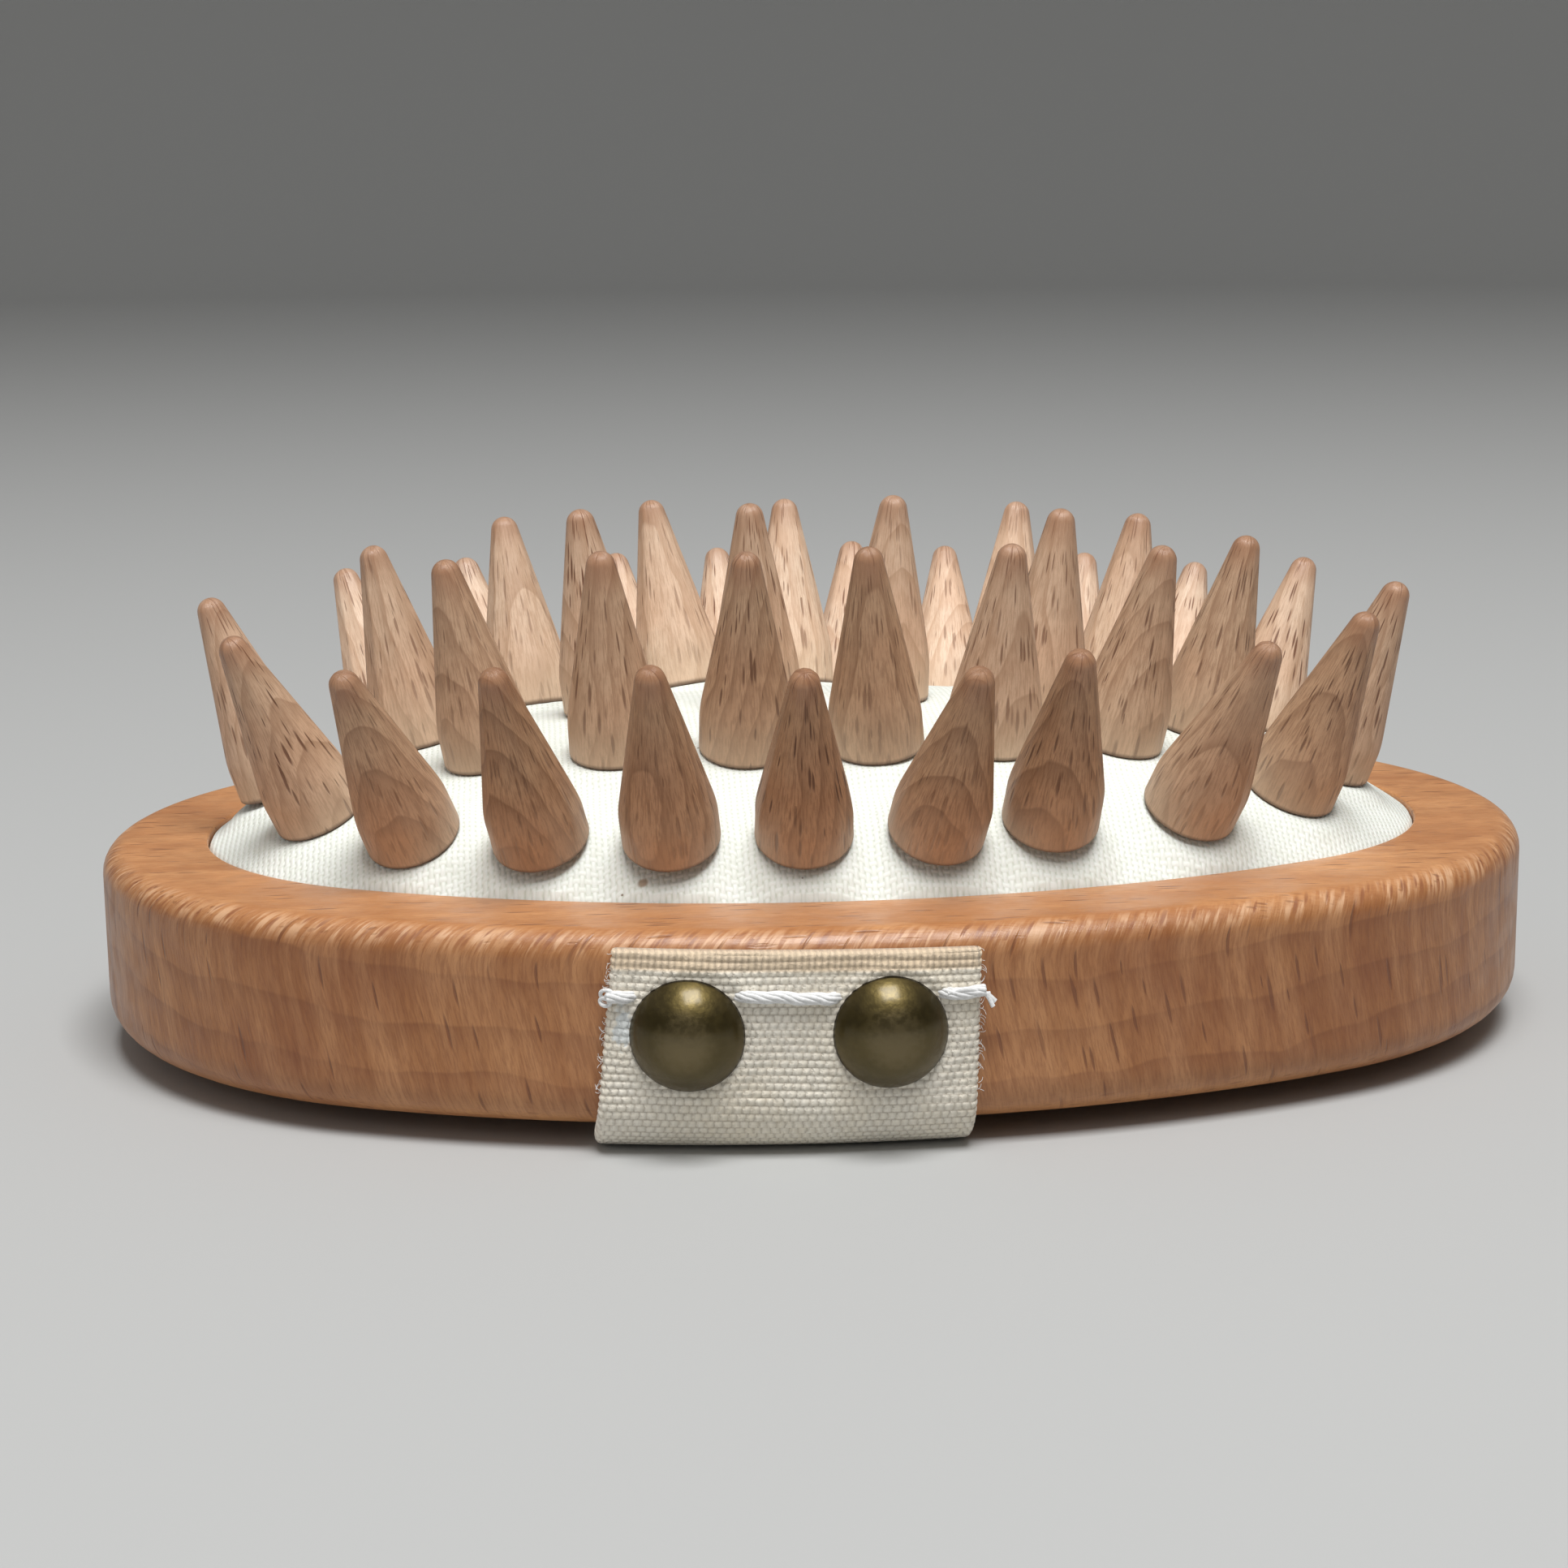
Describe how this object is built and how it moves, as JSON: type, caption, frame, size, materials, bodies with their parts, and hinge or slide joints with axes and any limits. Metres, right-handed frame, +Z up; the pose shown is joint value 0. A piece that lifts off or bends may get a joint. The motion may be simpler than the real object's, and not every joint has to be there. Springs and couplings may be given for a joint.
{
  "type": "body dry brush",
  "caption": "Oval wooden massage brush with turned wooden cone pins on a domed canvas air cushion and a tacked webbing hand strap.",
  "frame": {"origin": "on the table under the middle of the brush, which lies on its strap with the pins up", "axes": "+X along the oval body, +Y across it from the near side to the far side, +Z up through the pins"},
  "size_m": [0.135, 0.0994, 0.05],
  "materials": {
    "body_beech": "satin varnished beech",
    "pin_beech": "raw turned beech, polished tips",
    "canvas": "plain-weave cotton canvas",
    "rubber": "natural rubber sheet",
    "webbing": "ribbed elastic cotton webbing",
    "thread": "waxed polyester thread",
    "tack_brass": "antiqued brass, burnished on top"
  },
  "bodies": {
    "root": {"cushion_cover": "canvas", "cushion_rubber": "rubber", "stitch_far": "thread", "stitch_near": "thread", "strap_far_end": "webbing", "strap_near_end": "webbing", "tack_far_left": "tack_brass", "tack_far_right": "tack_brass", "tack_near_left": "tack_brass", "tack_near_right": "tack_brass", "wooden_body": "body_beech"},
    "strap_loop": {"strap_span": "webbing"},
    "pin_core_01": {"pin_core_01": "pin_beech"},
    "pin_core_02": {"pin_core_02": "pin_beech"},
    "pin_core_03": {"pin_core_03": "pin_beech"},
    "pin_core_04": {"pin_core_04": "pin_beech"},
    "pin_middle_01": {"pin_middle_01": "pin_beech"},
    "pin_middle_02": {"pin_middle_02": "pin_beech"},
    "pin_middle_03": {"pin_middle_03": "pin_beech"},
    "pin_middle_04": {"pin_middle_04": "pin_beech"},
    "pin_middle_05": {"pin_middle_05": "pin_beech"},
    "pin_middle_06": {"pin_middle_06": "pin_beech"},
    "pin_middle_07": {"pin_middle_07": "pin_beech"},
    "pin_middle_08": {"pin_middle_08": "pin_beech"},
    "pin_middle_09": {"pin_middle_09": "pin_beech"},
    "pin_middle_10": {"pin_middle_10": "pin_beech"},
    "pin_middle_11": {"pin_middle_11": "pin_beech"},
    "pin_middle_12": {"pin_middle_12": "pin_beech"},
    "pin_middle_13": {"pin_middle_13": "pin_beech"},
    "pin_outer_01": {"pin_outer_01": "pin_beech"},
    "pin_outer_02": {"pin_outer_02": "pin_beech"},
    "pin_outer_03": {"pin_outer_03": "pin_beech"},
    "pin_outer_04": {"pin_outer_04": "pin_beech"},
    "pin_outer_05": {"pin_outer_05": "pin_beech"},
    "pin_outer_06": {"pin_outer_06": "pin_beech"},
    "pin_outer_07": {"pin_outer_07": "pin_beech"},
    "pin_outer_08": {"pin_outer_08": "pin_beech"},
    "pin_outer_09": {"pin_outer_09": "pin_beech"},
    "pin_outer_10": {"pin_outer_10": "pin_beech"},
    "pin_outer_11": {"pin_outer_11": "pin_beech"},
    "pin_outer_12": {"pin_outer_12": "pin_beech"},
    "pin_outer_13": {"pin_outer_13": "pin_beech"},
    "pin_outer_14": {"pin_outer_14": "pin_beech"},
    "pin_outer_15": {"pin_outer_15": "pin_beech"},
    "pin_outer_16": {"pin_outer_16": "pin_beech"},
    "pin_outer_17": {"pin_outer_17": "pin_beech"},
    "pin_outer_18": {"pin_outer_18": "pin_beech"},
    "pin_outer_19": {"pin_outer_19": "pin_beech"},
    "pin_outer_20": {"pin_outer_20": "pin_beech"}
  },
  "joints": [
    {"name": "strap_open", "type": "slide", "parent": "root", "child": "strap_loop", "axis": [0, 0, -1], "range_m": [0, 0.025], "stiffness_N_per_m": 40},
    {"name": "press_core_01", "type": "slide", "parent": "root", "child": "pin_core_01", "axis": [-0.1288, -0.0124, 0.9916], "range_m": [-0.0025, 0], "stiffness_N_per_m": 600, "deforming": ["cushion_cover", "cushion_rubber"]},
    {"name": "press_core_02", "type": "slide", "parent": "root", "child": "pin_core_02", "axis": [-0.0289, -0.0623, 0.9976], "range_m": [-0.0025, 0], "stiffness_N_per_m": 600, "deforming": ["cushion_cover", "cushion_rubber"]},
    {"name": "press_core_03", "type": "slide", "parent": "root", "child": "pin_core_03", "axis": [0.0505, -0.0509, 0.9974], "range_m": [-0.0025, 0], "stiffness_N_per_m": 600, "deforming": ["cushion_cover", "cushion_rubber"]},
    {"name": "press_core_04", "type": "slide", "parent": "root", "child": "pin_core_04", "axis": [0.1062, -0.0655, 0.9922], "range_m": [-0.0025, 0], "stiffness_N_per_m": 600, "deforming": ["cushion_cover", "cushion_rubber"]},
    {"name": "press_middle_01", "type": "slide", "parent": "root", "child": "pin_middle_01", "axis": [-0.195, -0.1564, 0.9682], "range_m": [-0.0025, 0], "stiffness_N_per_m": 600, "deforming": ["cushion_cover", "cushion_rubber"]},
    {"name": "press_middle_02", "type": "slide", "parent": "root", "child": "pin_middle_02", "axis": [-0.0667, -0.2148, 0.9744], "range_m": [-0.0025, 0], "stiffness_N_per_m": 600, "deforming": ["cushion_cover", "cushion_rubber"]},
    {"name": "press_middle_03", "type": "slide", "parent": "root", "child": "pin_middle_03", "axis": [-0.0123, -0.2931, 0.956], "range_m": [-0.0025, 0], "stiffness_N_per_m": 600, "deforming": ["cushion_cover", "cushion_rubber"]},
    {"name": "press_middle_04", "type": "slide", "parent": "root", "child": "pin_middle_04", "axis": [-0.0662, -0.2519, 0.9655], "range_m": [-0.0025, 0], "stiffness_N_per_m": 600, "deforming": ["cushion_cover", "cushion_rubber"]},
    {"name": "press_middle_05", "type": "slide", "parent": "root", "child": "pin_middle_05", "axis": [0.059, -0.2298, 0.9714], "range_m": [-0.0025, 0], "stiffness_N_per_m": 600, "deforming": ["cushion_cover", "cushion_rubber"]},
    {"name": "press_middle_06", "type": "slide", "parent": "root", "child": "pin_middle_06", "axis": [0.1864, -0.1973, 0.9625], "range_m": [-0.0025, 0], "stiffness_N_per_m": 600, "deforming": ["cushion_cover", "cushion_rubber"]},
    {"name": "press_middle_07", "type": "slide", "parent": "root", "child": "pin_middle_07", "axis": [0.213, -0.0811, 0.9737], "range_m": [-0.0025, 0], "stiffness_N_per_m": 600, "deforming": ["cushion_cover", "cushion_rubber"]},
    {"name": "press_middle_08", "type": "slide", "parent": "root", "child": "pin_middle_08", "axis": [0.1814, 0.2021, 0.9624], "range_m": [-0.0025, 0], "stiffness_N_per_m": 600, "deforming": ["cushion_cover", "cushion_rubber"]},
    {"name": "press_middle_09", "type": "slide", "parent": "root", "child": "pin_middle_09", "axis": [0.1124, 0.2297, 0.9667], "range_m": [-0.0025, 0], "stiffness_N_per_m": 600, "deforming": ["cushion_cover", "cushion_rubber"]},
    {"name": "press_middle_10", "type": "slide", "parent": "root", "child": "pin_middle_10", "axis": [-0.0035, 0.2657, 0.9641], "range_m": [-0.0025, 0], "stiffness_N_per_m": 600, "deforming": ["cushion_cover", "cushion_rubber"]},
    {"name": "press_middle_11", "type": "slide", "parent": "root", "child": "pin_middle_11", "axis": [-0.1482, 0.2251, 0.963], "range_m": [-0.0025, 0], "stiffness_N_per_m": 600, "deforming": ["cushion_cover", "cushion_rubber"]},
    {"name": "press_middle_12", "type": "slide", "parent": "root", "child": "pin_middle_12", "axis": [-0.1215, 0.2383, 0.9636], "range_m": [-0.0025, 0], "stiffness_N_per_m": 600, "deforming": ["cushion_cover", "cushion_rubber"]},
    {"name": "press_middle_13", "type": "slide", "parent": "root", "child": "pin_middle_13", "axis": [-0.2202, 0.0102, 0.9754], "range_m": [-0.0025, 0], "stiffness_N_per_m": 600, "deforming": ["cushion_cover", "cushion_rubber"]},
    {"name": "press_outer_01", "type": "slide", "parent": "root", "child": "pin_outer_01", "axis": [-0.3777, -0.2577, 0.8893], "range_m": [-0.0025, 0], "stiffness_N_per_m": 600, "deforming": ["cushion_cover", "cushion_rubber"]},
    {"name": "press_outer_02", "type": "slide", "parent": "root", "child": "pin_outer_02", "axis": [-0.2813, -0.4662, 0.8388], "range_m": [-0.0025, 0], "stiffness_N_per_m": 600, "deforming": ["cushion_cover", "cushion_rubber"]},
    {"name": "press_outer_03", "type": "slide", "parent": "root", "child": "pin_outer_03", "axis": [-0.2, -0.4723, 0.8585], "range_m": [-0.0025, 0], "stiffness_N_per_m": 600, "deforming": ["cushion_cover", "cushion_rubber"]},
    {"name": "press_outer_04", "type": "slide", "parent": "root", "child": "pin_outer_04", "axis": [-0.1085, -0.4976, 0.8606], "range_m": [-0.0025, 0], "stiffness_N_per_m": 600, "deforming": ["cushion_cover", "cushion_rubber"]},
    {"name": "press_outer_05", "type": "slide", "parent": "root", "child": "pin_outer_05", "axis": [-0.0426, -0.5502, 0.834], "range_m": [-0.0025, 0], "stiffness_N_per_m": 600, "deforming": ["cushion_cover", "cushion_rubber"]},
    {"name": "press_outer_06", "type": "slide", "parent": "root", "child": "pin_outer_06", "axis": [0.1237, -0.554, 0.8233], "range_m": [-0.0025, 0], "stiffness_N_per_m": 600, "deforming": ["cushion_cover", "cushion_rubber"]},
    {"name": "press_outer_07", "type": "slide", "parent": "root", "child": "pin_outer_07", "axis": [0.0447, -0.5133, 0.857], "range_m": [-0.0025, 0], "stiffness_N_per_m": 600, "deforming": ["cushion_cover", "cushion_rubber"]},
    {"name": "press_outer_08", "type": "slide", "parent": "root", "child": "pin_outer_08", "axis": [0.2639, -0.4643, 0.8455], "range_m": [-0.0025, 0], "stiffness_N_per_m": 600, "deforming": ["cushion_cover", "cushion_rubber"]},
    {"name": "press_outer_09", "type": "slide", "parent": "root", "child": "pin_outer_09", "axis": [0.2827, -0.3245, 0.9026], "range_m": [-0.0025, 0], "stiffness_N_per_m": 600, "deforming": ["cushion_cover", "cushion_rubber"]},
    {"name": "press_outer_10", "type": "slide", "parent": "root", "child": "pin_outer_10", "axis": [0.3063, -0.1768, 0.9354], "range_m": [-0.0025, 0], "stiffness_N_per_m": 600, "deforming": ["cushion_cover", "cushion_rubber"]},
    {"name": "press_outer_11", "type": "slide", "parent": "root", "child": "pin_outer_11", "axis": [0.3394, 0.2585, 0.9044], "range_m": [-0.0025, 0], "stiffness_N_per_m": 600, "deforming": ["cushion_cover", "cushion_rubber"]},
    {"name": "press_outer_12", "type": "slide", "parent": "root", "child": "pin_outer_12", "axis": [0.2869, 0.4469, 0.8473], "range_m": [-0.0025, 0], "stiffness_N_per_m": 600, "deforming": ["cushion_cover", "cushion_rubber"]},
    {"name": "press_outer_13", "type": "slide", "parent": "root", "child": "pin_outer_13", "axis": [0.202, 0.4911, 0.8473], "range_m": [-0.0025, 0], "stiffness_N_per_m": 600, "deforming": ["cushion_cover", "cushion_rubber"]},
    {"name": "press_outer_14", "type": "slide", "parent": "root", "child": "pin_outer_14", "axis": [0.0697, 0.5286, 0.846], "range_m": [-0.0025, 0], "stiffness_N_per_m": 600, "deforming": ["cushion_cover", "cushion_rubber"]},
    {"name": "press_outer_15", "type": "slide", "parent": "root", "child": "pin_outer_15", "axis": [0.0833, 0.5168, 0.852], "range_m": [-0.0025, 0], "stiffness_N_per_m": 600, "deforming": ["cushion_cover", "cushion_rubber"]},
    {"name": "press_outer_16", "type": "slide", "parent": "root", "child": "pin_outer_16", "axis": [-0.0388, 0.5284, 0.8481], "range_m": [-0.0025, 0], "stiffness_N_per_m": 600, "deforming": ["cushion_cover", "cushion_rubber"]},
    {"name": "press_outer_17", "type": "slide", "parent": "root", "child": "pin_outer_17", "axis": [-0.1039, 0.519, 0.8484], "range_m": [-0.0025, 0], "stiffness_N_per_m": 600, "deforming": ["cushion_cover", "cushion_rubber"]},
    {"name": "press_outer_18", "type": "slide", "parent": "root", "child": "pin_outer_18", "axis": [-0.2013, 0.4383, 0.876], "range_m": [-0.0025, 0], "stiffness_N_per_m": 600, "deforming": ["cushion_cover", "cushion_rubber"]},
    {"name": "press_outer_19", "type": "slide", "parent": "root", "child": "pin_outer_19", "axis": [-0.2842, 0.3387, 0.8969], "range_m": [-0.0025, 0], "stiffness_N_per_m": 600, "deforming": ["cushion_cover", "cushion_rubber"]},
    {"name": "press_outer_20", "type": "slide", "parent": "root", "child": "pin_outer_20", "axis": [-0.3331, -0.0133, 0.9428], "range_m": [-0.0025, 0], "stiffness_N_per_m": 600, "deforming": ["cushion_cover", "cushion_rubber"]}
  ]
}
